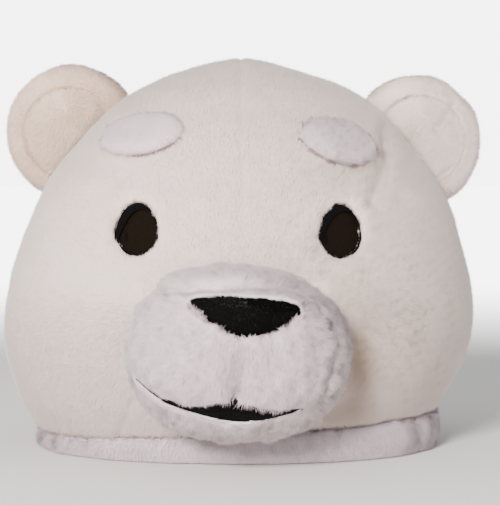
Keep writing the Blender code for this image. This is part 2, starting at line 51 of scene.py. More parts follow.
def linear(code):
    """An sRGB hex colour as linear RGBA."""
    parts = [int(code[i:i + 2], 16) / 255 for i in (0, 2, 4)]
    return tuple(p / 12.92 if p <= 0.04045 else ((p + 0.055) / 1.055) ** 2.4 for p in parts) + (1.0,)


def add_node(material, kind, settings=(), links=()):
    """Adds a shader node, gives it settings and sockets' values, and links its inputs, by name or number."""
    node = material.node_tree.nodes.new(kind)
    for name, value in dict(settings).items():
        if isinstance(name, int) or name in node.inputs:
            node.inputs[name].default_value = value
        else:
            setattr(node, name, value)
    for name, source in dict(links).items():
        material.node_tree.links.new(source, node.inputs[name])
    return node


def new_material(name):
    material = bpy.data.materials.new(name)
    material.use_nodes = True
    material.node_tree.nodes.clear()
    return material


def finish_surface(material, shader):
    add_node(material, "ShaderNodeOutputMaterial", links={"Surface": shader.outputs[0]})
    return material


# the sockets of a Mix node that blends colours, which share their names with those for numbers
MIX_FACTOR = 0
MIX_FIRST = 6
MIX_SECOND = 7
MIX_COLOUR = 2


def plush_backing(name, light, shade):
    """Knitted plush seen between its pile: matt, with soft cloudy mottling 10 to 40 mm across."""
    material = new_material(name)
    place = add_node(material, "ShaderNodeTexCoord").outputs["Object"]
    cloud = add_node(material, "ShaderNodeTexNoise", {"Scale": 28.0, "Detail": 4.0}, {"Vector": place})
    tuft = add_node(material, "ShaderNodeTexNoise", {"Scale": 260.0, "Detail": 3.0}, {"Vector": place})
    clouds = add_node(
        material,
        "ShaderNodeMapRange",
        {"From Min": 0.35, "From Max": 0.65},
        {"Value": cloud.outputs["Fac"]},
    )
    tufts = add_node(
        material,
        "ShaderNodeMapRange",
        {"From Min": 0.30, "From Max": 0.70},
        {"Value": tuft.outputs["Fac"]},
    )
    cloudy = add_node(
        material,
        "ShaderNodeMix",
        {"data_type": "RGBA", MIX_FIRST: linear(shade), MIX_SECOND: linear(light)},
        {MIX_FACTOR: clouds.outputs[0]},
    )
    tufted = add_node(
        material,
        "ShaderNodeMix",
        {"data_type": "RGBA", MIX_FIRST: linear(shade)},
        {MIX_FACTOR: tufts.outputs[0], MIX_SECOND: cloudy.outputs[MIX_COLOUR]},
    )
    bump = add_node(
        material,
        "ShaderNodeBump",
        {"Strength": 0.5, "Distance": 0.0015},
        {"Height": tuft.outputs["Fac"]},
    )
    shader = add_node(
        material,
        "ShaderNodeBsdfPrincipled",
        {"Roughness": 1.0, "Specular IOR Level": 0.1, "Sheen Weight": 0.25, "Sheen Roughness": 0.6},
        {"Base Color": tufted.outputs[MIX_COLOUR], "Normal": bump.outputs[0]},
    )
    return finish_surface(material, shader)


def pile_fibre(name, root, tip, shade, shadow, sheen=0.2):
    """Polyester pile: darker at the roots, as painted shade between the fibres, pale at the tips, cloudy, and
    darker toward its shadow colour in random tufts and where shade is painted.
    """
    material = new_material(name)
    place = add_node(material, "ShaderNodeTexCoord").outputs["Object"]
    cloud = add_node(material, "ShaderNodeTexNoise", {"Scale": 30.0, "Detail": 4.0}, {"Vector": place})
    along = add_node(material, "ShaderNodeAttribute", {"attribute_name": "along"})
    tone = add_node(material, "ShaderNodeAttribute", {"attribute_name": "tone"})
    clouds = add_node(
        material,
        "ShaderNodeMapRange",
        {"From Min": 0.62, "From Max": 0.38},
        {"Value": cloud.outputs["Fac"]},
    )
    fibre = add_node(
        material,
        "ShaderNodeMix",
        {"data_type": "RGBA", MIX_FIRST: linear(root), MIX_SECOND: linear(tip)},
        {MIX_FACTOR: along.outputs["Fac"]},
    )
    cloudy = add_node(
        material,
        "ShaderNodeMix",
        {"data_type": "RGBA", MIX_SECOND: linear(shade)},
        {MIX_FACTOR: clouds.outputs[0], MIX_FIRST: fibre.outputs[MIX_COLOUR]},
    )
    # the tone darkens fibres toward the shadow colour, in random tufts and as painted shade
    toned = add_node(
        material,
        "ShaderNodeMix",
        {"data_type": "RGBA", MIX_SECOND: linear(shadow)},
        {MIX_FACTOR: tone.outputs["Fac"], MIX_FIRST: cloudy.outputs[MIX_COLOUR]},
    )
    shader = add_node(
        material,
        "ShaderNodeBsdfPrincipled",
        {"Roughness": 0.9, "Specular IOR Level": 0.1, "Sheen Weight": sheen, "Sheen Roughness": 0.5},
        {"Base Color": toned.outputs[MIX_COLOUR]},
    )
    return finish_surface(material, shader)


def link_new(name, mesh, material):
    piece = bpy.data.objects.new(name, mesh)
    bpy.context.scene.collection.objects.link(piece)
    mesh.materials.clear()
    mesh.materials.append(material)
    return piece


def settled(piece):
    """Applies a piece's modifiers to its mesh."""
    graph = bpy.context.evaluated_depsgraph_get()
    mesh = bpy.data.meshes.new_from_object(piece.evaluated_get(graph))
    old = piece.data
    piece.modifiers.clear()
    piece.data = mesh
    bpy.data.meshes.remove(old)
    return piece


def padded_copy(nodes, name, voxel, material):
    """A closed copy of some nodes' solids, in even faces that can be smoothed and pushed."""
    bm = bmesh.new()
    for node in nodes:
        bm.from_mesh(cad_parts[node].data)
    bmesh.ops.remove_doubles(bm, verts=bm.verts, dist=0.00002)
    mesh = bpy.data.meshes.new(name)
    bm.to_mesh(mesh)
    bm.free()
    piece = link_new(name, mesh, material)
    remesh = piece.modifiers.new("even faces", "REMESH")
    remesh.mode = "VOXEL"
    remesh.voxel_size = voxel
    settled(piece)
    piece.data.shade_smooth()
    return piece


def smooth_some(piece, times, chosen):
    """Eases the facets out of the chosen vertices."""
    bm = bmesh.new()
    bm.from_mesh(piece.data)
    bm.verts.ensure_lookup_table()
    verts = [v for v in bm.verts if chosen(v.co)]
    for _ in range(times):
        bmesh.ops.smooth_vert(bm, verts=verts, factor=0.5, use_axis_x=True, use_axis_y=True, use_axis_z=True)
    bm.to_mesh(piece.data)
    bm.free()


def refine(piece, chosen):
    """Splits the chosen faces once more, for creases narrower than a face."""
    bm = bmesh.new()
    bm.from_mesh(piece.data)
    edges = [e for e in bm.edges if all(chosen(v.co) for v in e.verts)]
    bmesh.ops.subdivide_edges(bm, edges=edges, cuts=1, use_grid_fill=True, smooth=0.6)
    bm.to_mesh(piece.data)
    bm.free()
    piece.data.shade_smooth()


def places_of(mesh):
    places = np.empty(len(mesh.vertices) * 3)
    mesh.vertices.foreach_get("co", places)
    return places.reshape(-1, 3)


def normals_of(mesh):
    normals = np.empty(len(mesh.vertices) * 3)
    mesh.vertices.foreach_get("normal", normals)
    return normals.reshape(-1, 3)


def push(piece, how_far):
    """Moves each vertex along its normal by how_far(places, normals)."""
    mesh = piece.data
    places = places_of(mesh)
    normals = normals_of(mesh)
    places += normals * how_far(places, normals)[:, None]
    mesh.vertices.foreach_set("co", places.ravel())
    mesh.update()


def ripple(places, wavelength, seed):
    """Smooth, uneven waves between about -1 and 1, for lumps, clumps and combing."""
    draw = np.random.default_rng(seed)
    total = np.zeros(len(places))
    for _ in range(7):
        heading = draw.normal(size=3)
        heading *= 2 * math.pi / (wavelength * draw.uniform(0.7, 1.4)) / np.linalg.norm(heading)
        total += np.sin(places @ heading + draw.uniform(0, 2 * math.pi))
    return total / 2.6


CLOTH_FRAMES = 20


def puffed(piece, pressure, most):
    """Lets the stuffing press the sewn cover out in a short cloth simulation, by so much at most."""
    before = places_of(piece.data)
    cloth = piece.modifiers.new("stuffing", "CLOTH")
    cloth.settings.use_pressure = True
    cloth.settings.uniform_pressure_force = pressure
    cloth.settings.effector_weights.gravity = 0
    for step in range(1, CLOTH_FRAMES + 1):
        bpy.context.scene.frame_set(step)
    settled(piece)
    bpy.context.scene.frame_set(1)
    moved = places_of(piece.data) - before
    far = np.linalg.norm(moved, axis=1)
    moved *= np.minimum(1, most / np.maximum(far, 1e-9))[:, None]
    piece.data.vertices.foreach_set("co", (before + moved).ravel())
    piece.data.update()
    piece.data.shade_smooth()


def dress(piece, fill, slot, *nodes):
    """Lets a stuffed piece ride on the mask in place of its CAD nodes."""
    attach(piece, "root")
    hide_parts(*nodes)


def line_distance(across, up, line):
    """Distance in the X-Z plane to a line through a few points."""
    best = np.full(len(across), 9.0)
    for (ax, az), (bx, bz) in zip(line, line[1:]):
        dx = bx - ax
        dz = bz - az
        t = np.clip(((across - ax) * dx + (up - az) * dz) / (dx * dx + dz * dz), 0, 1)
        best = np.minimum(best, np.hypot(across - ax - t * dx, up - az - t * dz))
    return best


def sample_skin(piece, count, keep, draw):
    """Random root places on a piece's skin and the skin's normals there, where keep allows."""
    mesh = piece.data
    mesh.calc_loop_triangles()
    corners = np.empty(len(mesh.loop_triangles) * 3, np.int32)
    mesh.loop_triangles.foreach_get("vertices", corners)
    corners = corners.reshape(-1, 3)
    places = places_of(mesh)
    normals = normals_of(mesh)
    a, b, c = (places[corners[:, k]] for k in range(3))
    middles = (a + b + c) / 3
    flat = np.cross(b - a, c - a)
    sizes = np.linalg.norm(flat, axis=1) / 2
    facing = normals[corners].mean(1)
    sizes = sizes * keep(middles, facing)
    picked = draw.choice(len(sizes), count, p=sizes / sizes.sum())
    u = np.sqrt(draw.random(count))
    v = draw.random(count)
    shares = np.stack([1 - u, u * (1 - v), u * v], 1)
    roots = sum(shares[:, k:k + 1] * places[corners[picked, k]] for k in range(3))
    out = sum(shares[:, k:k + 1] * normals[corners[picked, k]] for k in range(3))
    return roots, unit(out)


def unit(vectors):
    return vectors / np.maximum(np.linalg.norm(vectors, axis=1), 1e-9)[:, None]


def sew_fibres(name, roots, out, heading, length, width, tuft_and_shade_tones, material):
    """One mesh of tapering fibres, a triangle each, shaded with the skin that they stand on."""
    count = len(roots)
    side = unit(np.cross(heading, out)) * (width / 2)[:, None]
    tips = roots + heading * length[:, None]
    places = np.stack([roots - side, roots + side, tips], 1).reshape(-1, 3)
    mesh = bpy.data.meshes.new(name)
    mesh.vertices.add(count * 3)
    mesh.vertices.foreach_set("co", places.ravel())
    mesh.loops.add(count * 3)
    order = np.arange(count * 3, dtype=np.int32).reshape(-1, 3)
    turned = np.einsum("ij,ij->i", np.cross(places[1::3] - places[::3], places[2::3] - places[::3]), out) < 0
    order[turned] = order[turned][:, ::-1]
    mesh.loops.foreach_set("vertex_index", order.ravel())
    mesh.polygons.add(count)
    mesh.polygons.foreach_set("loop_start", np.arange(0, count * 3, 3, dtype=np.int32))
    mesh.update(calc_edges=True)
    along = mesh.attributes.new("along", "FLOAT", "POINT")
    along.data.foreach_set("value", np.tile([0.0, 0.0, 1.0], count))
    # each fibre's tone: random tufts, and painted shade where patches are given
    tone = mesh.attributes.new("tone", "FLOAT", "POINT")
    tone.data.foreach_set("value", np.repeat(tuft_and_shade_tones, 3))
    cells = math.ceil(math.sqrt(count))
    place = np.argsort(np.argsort(np.round(roots[:, 2], 2) * 100 + roots[:, 0]))
    corner = np.stack([place % cells, place // cells], 1)[:, None, :]
    shape = np.array([[0.1, 0.1], [0.9, 0.1], [0.5, 0.9]])
    flat = ((corner + shape) / cells).reshape(-1, 2)
    layer = mesh.uv_layers.new(name="OFBake")
    layer.uv.foreach_set("vector", flat[order.ravel()].ravel())
    shaded = unit(out * 0.8 + heading * 0.2).repeat(3, axis=0)
    mesh.normals_split_custom_set_from_vertices(shaded.tolist())
    fibres = link_new(name, mesh, material)
    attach(fibres, "root")
    return fibres


def even(roots):
    return np.ones(len(roots))


# no painted shade
def unshaded(roots):
    return np.zeros(len(roots))


# waves over the skin, in metres, by which the pile swirls, leans, grows and tufts together
SWIRL_WAVE = 0.016
LEAN_WAVE = 0.011
LENGTH_WAVE = 0.013
TUFT_WAVE = 0.007
# angles from the skin's normal, in radians
LEAST_LEAN = 0.1
MOST_LEAN = 1.25
# the most that random tufts and painted shade darken a fibre toward its shadow colour
MOST_TUFT_TONE_AND_SHADE = 0.9
ROOT_DEPTH = 0.0003


def grow_pile(
    name,
    skin,
    count,
    keep,
    comb,
    seed,
    material,
    length,
    width,
    lean=0.8,
    clump=0.3,
    disorder=0.3,
    share=even,
    painted_shade_amount=unshaded,
):
    """Pile on a skin: fibres lean along the comb, in clumps, with a little disorder. Share shortens
    some of them, and painted shade darkens some."""
    draw = np.random.default_rng(seed)
    roots, out = sample_skin(skin, count, keep, draw)
    clumps = clump(roots) if callable(clump) else clump
    combed = comb(roots)
    combed = unit(combed - out * np.einsum("ij,ij->i", combed, out)[:, None])
    aside = np.cross(out, combed)
    swirl = clumps * 0.9 * ripple(roots, SWIRL_WAVE, seed) + draw.normal(size=count) * disorder
    leaning = lean + clumps * 0.30 * ripple(roots, LEAN_WAVE, seed + 1)
    tilt = np.clip(leaning + draw.normal(size=count) * 0.14, LEAST_LEAN, MOST_LEAN)
    tangent = combed * np.cos(swirl)[:, None] + aside * np.sin(swirl)[:, None]
    heading = unit(out * np.cos(tilt)[:, None] + tangent * np.sin(tilt)[:, None])
    uneven = 1 + clumps * 0.3 * ripple(roots, LENGTH_WAVE, seed + 2) + draw.normal(size=count) * 0.12
    lengths = np.clip(length * uneven, 0.4 * length, 1.5 * length) * share(roots)
    down = np.maximum(-heading[:, 2], 1e-6)
    to_floor = np.where(heading[:, 2] < 0, roots[:, 2] / down, np.inf)
    lengths = np.minimum(lengths, to_floor)
    tufts = np.maximum(ripple(roots, TUFT_WAVE, seed + 3), 0) + 0.5 * np.abs(draw.normal(size=count))
    # tufts darken fibres at random, and painted shade is added where patches are given
    tuft_and_shade_tones = np.clip(0.45 * clumps * tufts + painted_shade_amount(roots), 0, MOST_TUFT_TONE_AND_SHADE)
    rooted = roots - out * ROOT_DEPTH
    return sew_fibres(name, rooted, out, heading, lengths, np.full(count, width), tuft_and_shade_tones, material)


CROWN = Vector((-0.0021, 0.0349, 0.3108))
BROW_DART = ((0.1090, 0.2520), (0.1100, 0.2330), (0.1040, 0.2130), (0.0960, 0.1960))
CHEEK_SEAM = ((-0.0830, 0.0500), (-0.0951, 0.0200))
PANELS = ("face_left", "face_right", "back_left", "back_right")
# painted shade in round patches on the front of the head, beside the muzzle, under the right brow and along
# the dart: middle across and up, half width, half height, and depth
PAINTED_SHADE_PATCHES = (
    (0.0860, 0.0800, 0.0120, 0.0380, 0.75),
    (0.0700, 0.0400, 0.0240, 0.0120, 0.45),
    (0.0880, 0.2230, 0.0130, 0.0080, 0.35),
    (0.1080, 0.2350, 0.0040, 0.0200, 0.45),
)
RIGHT_TUFTS = ((0.125, 0.105, 0.040, 0.060), (0.078, 0.228, 0.040, 0.024), (0.060, 0.165, 0.030, 0.030))
muzzle_low, muzzle_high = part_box("muzzle")
head_foot = min(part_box(panel)[0].z for panel in PANELS)
EYES = {}
for side in ("left", "right"):
    low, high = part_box("eye_rim_" + side)
    EYES[side] = ((low + high) / 2, (high.x - low.x) / 2, (high.z - low.z) / 2)


CRISP_FOOT = 0.028
CRISP_EYE_EDGE = 0.010


def head_skin_is_free(place):
    """Away from the eye holes, the muzzle's hole and the neck rim, where edges stay crisp."""
    if place.z < head_foot + CRISP_FOOT:
        return False
    if place.y > 0:
        return True
    for middle, half_width, half_height in EYES.values():
        across = (place.x - middle.x) / (half_width + CRISP_EYE_EDGE)
        up = (place.z - middle.z) / (half_height + CRISP_EYE_EDGE)
        if math.hypot(across, up) < 1:
            return False
    beside = muzzle_low.x + 0.01 < place.x < muzzle_high.x - 0.01
    return not (beside and muzzle_low.z < place.z < muzzle_high.z - 0.015)


def by_a_seam(place):
    """Beside the crown seam, the dart and the cheek seam, whose creases are narrower than a face."""
    if place.y > CROWN.y:
        return False
    crown = place.z > 0.150 and abs(place.x - CROWN.x) < 0.010
    dart = place.z > 0.185 and 0.085 < place.x < 0.130
    cheek = place.z < 0.060 and -0.108 < place.x < -0.070
    return crown or dart or cheek


def head_folds(places, normals):
    """The seams, the dart and the soft unevenness of the stuffed head."""
    x, y, z = places.T
    outside = np.einsum("ij,ij->i", normals, places - np.array([CROWN.x, CROWN.y, 0.12])) > 0
    above = np.clip((z - 0.150) / 0.05, 0, 1)
    moved = -0.0010 * np.exp(-(((x - CROWN.x) / 0.0026) ** 2)) * above
    dart = line_distance(x, z, BROW_DART)
    front = (y < CROWN.y).astype(float)
    moved -= front * 0.0032 * np.exp(-((dart / 0.0050) ** 2))
    moved += front * 0.0012 * np.exp(-(((dart - 0.011) / 0.006) ** 2))
    seam = line_distance(x, z, CHEEK_SEAM)
    moved -= front * 0.0018 * np.exp(-((seam / 0.0025) ** 2))
    moved += 0.0006 * ripple(places, 0.070, 11) + 0.0002 * ripple(places, 0.024, 12)
    return moved * outside


# the backing and the pile's roots are darker and warmer than the tips: painted shade between the fibres
white_backing = plush_backing("white plush backing", "e0d0c8", "d0beb2")
white_pile = pile_fibre("white plush pile", "d2beb2", "f0dfd8", "ead9d4", "a8927e")
head = padded_copy(PANELS, "head", 0.005, white_backing)
smooth_some(head, 28, head_skin_is_free)
smooth_some(head, 30, lambda place: abs(place.x - CROWN.x) < 0.02 and 0.16 < place.z < 0.22 and place.y < 0)
refine(head, by_a_seam)
push(head, head_folds)
dress(head, 0.8, "white_plush", *PANELS)


def head_outside(middles, facing):
    """Outer skin only, clear of the eye holes and of what the muzzle covers."""
    from_axis = middles - np.array([CROWN.x, CROWN.y, 0.12])
    outer = (np.einsum("ij,ij->i", facing, unit(from_axis)) > 0.25).astype(float)
    behind = (
        (middles[:, 0] > muzzle_low.x + 0.012)
        & (middles[:, 0] < muzzle_high.x - 0.012)
        & (middles[:, 2] > muzzle_low.z + 0.012)
        & (middles[:, 2] < muzzle_high.z - 0.012)
        & (middles[:, 1] < 0)
    )
    outer[behind] = 0
    for side in EYES:
        outer[(eye_share(middles, side) < 1) & (middles[:, 1] < 0)] = 0
    return outer


def eye_share(places, side):
    """Distance from an eye's middle, as a share of the way to its rim."""
    middle, half_width, half_height = EYES[side]
    return np.hypot((places[:, 0] - middle.x) / half_width, (places[:, 2] - middle.z) / half_height)


def comb_from_cheeks(roots):
    """Up to the crown above the cheeks and down below them, and a little outward."""
    away = np.zeros_like(roots)
    away[:, 0] = (roots[:, 0] - CROWN.x) * 0.5 * np.clip((0.26 - roots[:, 2]) / 0.10, -1, 1)
    away[:, 1] = 0.03
    away[:, 2] = np.clip((roots[:, 2] - 0.120) * 4, -0.1, 0.1)
    return unit(away)


def head_clumps(roots):
    """The pile lies smooth, and is ruffled on the right cheek and round the right brow."""
    ruffled = np.zeros(len(roots))
    for x, z, half_width, half_height in RIGHT_TUFTS:
        across = (roots[:, 0] - x) / half_width
        up = (roots[:, 2] - z) / half_height
        ruffled += np.exp(-(across ** 2) - up ** 2)
    return 0.08 + 0.45 * np.clip(ruffled, 0, 1) * (roots[:, 1] < CROWN.y)


def short_by_eyes(roots):
    """The plush is trimmed round the eye holes."""
    nearest = np.minimum(eye_share(roots, "left"), eye_share(roots, "right"))
    return np.where(roots[:, 1] < 0, np.clip((nearest - 0.85) / 0.45, 0.3, 1), 1)


def face_painted_shade(roots):
    """Painted shade beside the muzzle, where its shadow falls on the cheek, under the right brow and along
    the dart.
    """
    painted_shade_amount = np.zeros(len(roots))
    for x, z, half_width, half_height, depth in PAINTED_SHADE_PATCHES:
        across = (roots[:, 0] - x) / half_width
        up = (roots[:, 2] - z) / half_height
        painted_shade_amount += depth * np.exp(-(across ** 2) - up ** 2)
    return painted_shade_amount * (roots[:, 1] < 0)


for panel, on_panel, count, seed in (
    ("face_left", lambda m: (m[:, 0] < CROWN.x) & (m[:, 1] < CROWN.y), 175000, 21),
    ("face_right", lambda m: (m[:, 0] >= CROWN.x) & (m[:, 1] < CROWN.y), 175000, 22),
    ("back_left", lambda m: (m[:, 0] < CROWN.x) & (m[:, 1] >= CROWN.y), 60000, 23),
    ("back_right", lambda m: (m[:, 0] >= CROWN.x) & (m[:, 1] >= CROWN.y), 60000, 24),
):
    pile = grow_pile(
        "pile_" + panel,
        head,
        count,
        lambda middles, facing: head_outside(middles, facing) * on_panel(middles),
        comb_from_cheeks,
        seed,
        white_pile,
        length=0.0055,
        width=0.0008 if count > 100000 else 0.0013,
        clump=head_clumps,
        share=short_by_eyes,
        painted_shade_amount=face_painted_shade,
    )

# The muzzle: a stuffed plush snout with a chin, sewn from a front panel and a gusset round its side.
# The seam between them shows as a groove, and a crease runs down from the nose to the mouth.

GUSSET_SEAM = (
    (-0.0840, 0.0973),
    (-0.0800, 0.1208),
    (-0.0624, 0.1350),
    (-0.0271, 0.1372),
    (0.0045, 0.1385),
    (0.0350, 0.1365),
    (0.0510, 0.1265),
    (0.0615, 0.1135),
    (0.0650, 0.1002),
    (0.0640, 0.0892),
    (0.0570, 0.0680),
    (0.0430, 0.0480),
)
PHILTRUM = ((-0.0014, 0.1030), (-0.0030, 0.0800), (-0.0060, 0.0680), (-0.0070, 0.0590))


def tree_of(node):
    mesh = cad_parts[node].data
    return BVHTree.FromPolygons([v.co[:] for v in mesh.vertices], [p.vertices[:] for p in mesh.polygons])


def nearest_on(tree, places):
    """The nearest points of a node's solid to some places, and how far they are."""
    spots = np.array([tree.find_nearest(Vector(place))[0][:] for place in places])
    return spots, np.linalg.norm(spots - places, axis=1)


nose_tree = tree_of("nose")
mouth_tree = tree_of("mouth_lining")
nose_low, nose_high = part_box("nose")
mouth_low, mouth_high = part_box("mouth_lining")


def muzzle_is_free(place):
    """Away from the mouth's slit, where edges stay crisp."""
    if place.y > muzzle_high.y - 0.01:
        return True
    across = mouth_low.x - 0.004 < place.x < mouth_high.x + 0.004
    return not (across and mouth_low.z - 0.006 < place.z < mouth_high.z + 0.006)


MOUTH_OUTLINE = (
    # across, upper edge, lower edge, as shares of the mouth's half width and height
    (-1.02, 1.08, 0.96),
    (-0.90, 0.95, 0.76),
    (-0.78, 0.78, 0.60),
    (-0.63, 0.58, 0.43),
    (-0.39, 0.44, 0.28),
    (-0.16, 0.40, 0.16),
    (0.00, 0.50, 0.07),
    (0.16, 0.55, 0.01),
    (0.31, 0.49, 0.00),
    (0.46, 0.40, 0.03),
    (0.63, 0.32, 0.09),
    (0.80, 0.28, 0.17),
    (1.00, 0.32, 0.28),
)
LEAST_OPENING = 0.0036


def cut_mouth(piece):
    """Opens the mouth's slit again, crisp and no narrower than the least opening."""
    middle = (mouth_low.x + mouth_high.x) / 2
    half = (mouth_high.x - mouth_low.x) / 2
    upper = []
    lower = []
    for across, top, bottom in MOUTH_OUTLINE:
        x = middle + across * half
        high = mouth_low.z + top * (mouth_high.z - mouth_low.z)
        low = mouth_low.z + bottom * (mouth_high.z - mouth_low.z)
        more = max(0, LEAST_OPENING * (1.1 - abs(across) ** 6) - (high - low)) / 2
        upper.append((x, muzzle_low.y - 0.02, high + more))
        lower.append((x, muzzle_low.y - 0.02, low - more))
    bm = bmesh.new()
    face = bm.faces.new([bm.verts.new(point) for point in upper + lower[::-1]])
    grown = bmesh.ops.extrude_face_region(bm, geom=[face])["geom"]
    far = [item for item in grown if isinstance(item, bmesh.types.BMVert)]
    bmesh.ops.translate(bm, verts=far, vec=(0, muzzle_high.y - muzzle_low.y, 0))
    bmesh.ops.triangulate(bm, faces=bm.faces)
    bmesh.ops.recalc_face_normals(bm, faces=bm.faces)
    mesh = bpy.data.meshes.new("mouth cutter")
    bm.to_mesh(mesh)
    bm.free()
    cutter = bpy.data.objects.new("mouth_cutter", mesh)
    bpy.context.scene.collection.objects.link(cutter)
    cut = piece.modifiers.new("mouth", "BOOLEAN")
    cut.operation = "DIFFERENCE"
    cut.solver = "MANIFOLD"
    cut.object = cutter
    settled(piece)
    bpy.data.objects.remove(cutter)
    piece.data.shade_smooth()


def muzzle_folds(places, normals):
    """The gusset's seam, the crease under the nose and the unevenness of the stuffing."""
    x, y, z = places.T
    middle = np.array([(muzzle_low.x + muzzle_high.x) / 2, muzzle_high.y, (muzzle_low.z + muzzle_high.z) / 2])
    outside = np.einsum("ij,ij->i", normals, unit(places - middle)) > 0.1
    seam = line_distance(x, z, GUSSET_SEAM)
    moved = -0.0030 * np.exp(-((seam / 0.0024) ** 2)) + 0.0012 * np.exp(-(((seam - 0.006) / 0.004) ** 2))
    crease = line_distance(x, z, PHILTRUM)
    deep = np.clip((0.105 - z) / 0.035, 0.15, 1)
    moved -= 0.0042 * deep * np.exp(-((crease / 0.0022) ** 2)) * (y < -0.15)
    moved += 0.0007 * ripple(places, 0.035, 31) + 0.0003 * ripple(places, 0.014, 32)
    return moved * outside


muzzle_backing = plush_backing("muzzle plush backing", "ddcfd5", "cbbcc0")
muzzle_pile = pile_fibre("muzzle plush pile", "cfbcc0", "f0dee6", "e8d6dc", "9c8c8c")
muzzle = padded_copy(("muzzle",), "muzzle_pad", 0.0017, muzzle_backing)
smooth_some(muzzle, 10, muzzle_is_free)
cut_mouth(muzzle)
puffed(muzzle, 2.0, 0.0012)
push(muzzle, muzzle_folds)
dress(muzzle, 0.8, "white_plush", "muzzle")


def muzzle_outside(middles, facing):
    """Outer skin, clear of the slit's walls and of what the nose covers."""
    middle = np.array([(muzzle_low.x + muzzle_high.x) / 2, muzzle_high.y, (muzzle_low.z + muzzle_high.z) / 2])
    outer = np.einsum("ij,ij->i", facing, unit(middles - middle)) > 0.30
    _, far = nearest_on(nose_tree, middles)
    _, gap = nearest_on(mouth_tree, middles)
    return (outer & (far > 0.0016) & (gap > 0.0012)).astype(float)


def comb_from_nose(roots):
    """Away from the nose, and down over the lip."""
    away = unit(roots - np.array([nose_low.x + 0.038, nose_low.y + 0.01, nose_high.z - 0.012]))
    away[:, 2] -= 0.45
    return unit(away)


def near_edges(roots):
    """Short beside the nose and the mouth's slit, where the plush is trimmed."""
    _, from_nose = nearest_on(nose_tree, roots)
    _, from_mouth = nearest_on(mouth_tree, roots)
    beside_nose = np.clip(from_nose / 0.006, 0.25, 1)
    beside_mouth = np.clip((from_mouth - 0.003) / 0.007, 0.15, 1)
    seam = np.minimum(
        line_distance(roots[:, 0], roots[:, 2], GUSSET_SEAM),
        line_distance(roots[:, 0], roots[:, 2], PHILTRUM),
    )
    return beside_nose * beside_mouth * (1 - 0.5 * np.exp(-((seam / 0.0020) ** 2)))


def mostly_in_the_middle(roots):
    """Lip hairs are long over the open middle of the mouth and short over its thin ends."""
    return np.clip(1.25 - np.abs(roots[:, 0] - 0.004) / 0.045, 0.38, 1)


def muzzle_clumps(roots):
    """Ruffled down the right side and on the chin."""
    right = np.clip((roots[:, 0] - 0.030) / 0.030, 0, 1)
    chin = np.clip((0.055 - roots[:, 2]) / 0.012, 0, 1)
    return 0.38 + 0.40 * np.maximum(right, chin)


def muzzle_painted_shade(roots):
    """Painted shade down the right side, which is turned from the window light, and under the chin."""
    right = np.clip((roots[:, 0] - 0.022) / 0.040, 0, 1)
    chin = np.clip((0.045 - roots[:, 2]) / 0.015, 0, 1)
    return 0.26 * right + 0.10 * chin


pile = grow_pile(
    "pile_muzzle",
    muzzle,
    112000,
    muzzle_outside,
    comb_from_nose,
    33,
    muzzle_pile,
    length=0.0056,
    width=0.0007,
    lean=0.85,
    clump=muzzle_clumps,
    share=near_edges,
    painted_shade_amount=muzzle_painted_shade,
)


def upper_lip(middles, facing):
    spots, far = nearest_on(mouth_tree, middles)
    return muzzle_outside(middles, facing) * (far < 0.0062) * (middles[:, 2] > spots[:, 2] + 0.0005)


def comb_down(roots):
    return np.tile([0.0, -0.25, -1.0], (len(roots), 1))


lip_hairs = grow_pile(
    "lip_hairs",
    muzzle,
    620,
    upper_lip,
    comb_down,
    34,
    muzzle_pile,
    share=mostly_in_the_middle,
    length=0.0060,
    width=0.0005,
    lean=1.0,
    clump=0.8,
    disorder=0.35,
)


def under_the_nose(middles, facing):
    spots, far = nearest_on(nose_tree, middles)
    low = middles[:, 2] < nose_high.z - 0.006
    beside = np.hypot(spots[:, 0] - middles[:, 0], spots[:, 2] - middles[:, 2]) > 0.0008
    return (facing[:, 1] < 0) * low * beside * (far < 0.0042)


def comb_to_nose(roots):
    return unit(np.array([nose_low.x + 0.041, nose_low.y, nose_high.z]) - roots)


nose_edge_hairs = grow_pile(
    "white_hairs_at_nose",
    muzzle,
    900,
    under_the_nose,
    comb_to_nose,
    35,
    muzzle_pile,
    length=0.0058,
    width=0.0006,
    lean=0.50,
    clump=0.8,
    disorder=0.5,
)

# The mouth: black felt behind the slit in the muzzle, a flat matt strip that shows as a dark crescent.
# Felt is pressed wool or polyester without a weave, so it gives the eye only a fine fibrous grain.


def felt(name, light, dark):
    material = new_material(name)
    place = add_node(material, "ShaderNodeTexCoord").outputs["Object"]
    grain = add_node(material, "ShaderNodeTexNoise", {"Scale": 900.0, "Detail": 5.0}, {"Vector": place})
    grains = add_node(
        material,
        "ShaderNodeMapRange",
        {"From Min": 0.3, "From Max": 0.7},
        {"Value": grain.outputs["Fac"]},
    )
    colour = add_node(
        material,
        "ShaderNodeMix",
        {"data_type": "RGBA", MIX_FIRST: linear(dark), MIX_SECOND: linear(light)},
        {MIX_FACTOR: grains.outputs[0]},
    )
    bump = add_node(
        material,
        "ShaderNodeBump",
        {"Strength": 0.6, "Distance": 0.0006},
        {"Height": grain.outputs["Fac"]},
    )
    shader = add_node(
        material,
        "ShaderNodeBsdfPrincipled",
        {"Roughness": 1.0, "Specular IOR Level": 0.08},
        {"Base Color": colour.outputs[MIX_COLOUR], "Normal": bump.outputs[0]},
    )
    return finish_surface(material, shader)


black_felt_and_eye_shadow = felt("black felt", "09080a", "030304")
# black felt lines the mouth and the eye holes; the eye rims' wide upper-left crescents are painted shadow
for node in ("mouth_lining", "eye_rim_left", "eye_rim_right"):
    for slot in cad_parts[node].material_slots:
        slot.material = black_felt_and_eye_shadow

# The nose: a wide bean of black short-pile plush, sewn flat on its crisp upper edge, with hairs that
# stand out over its lower edge.

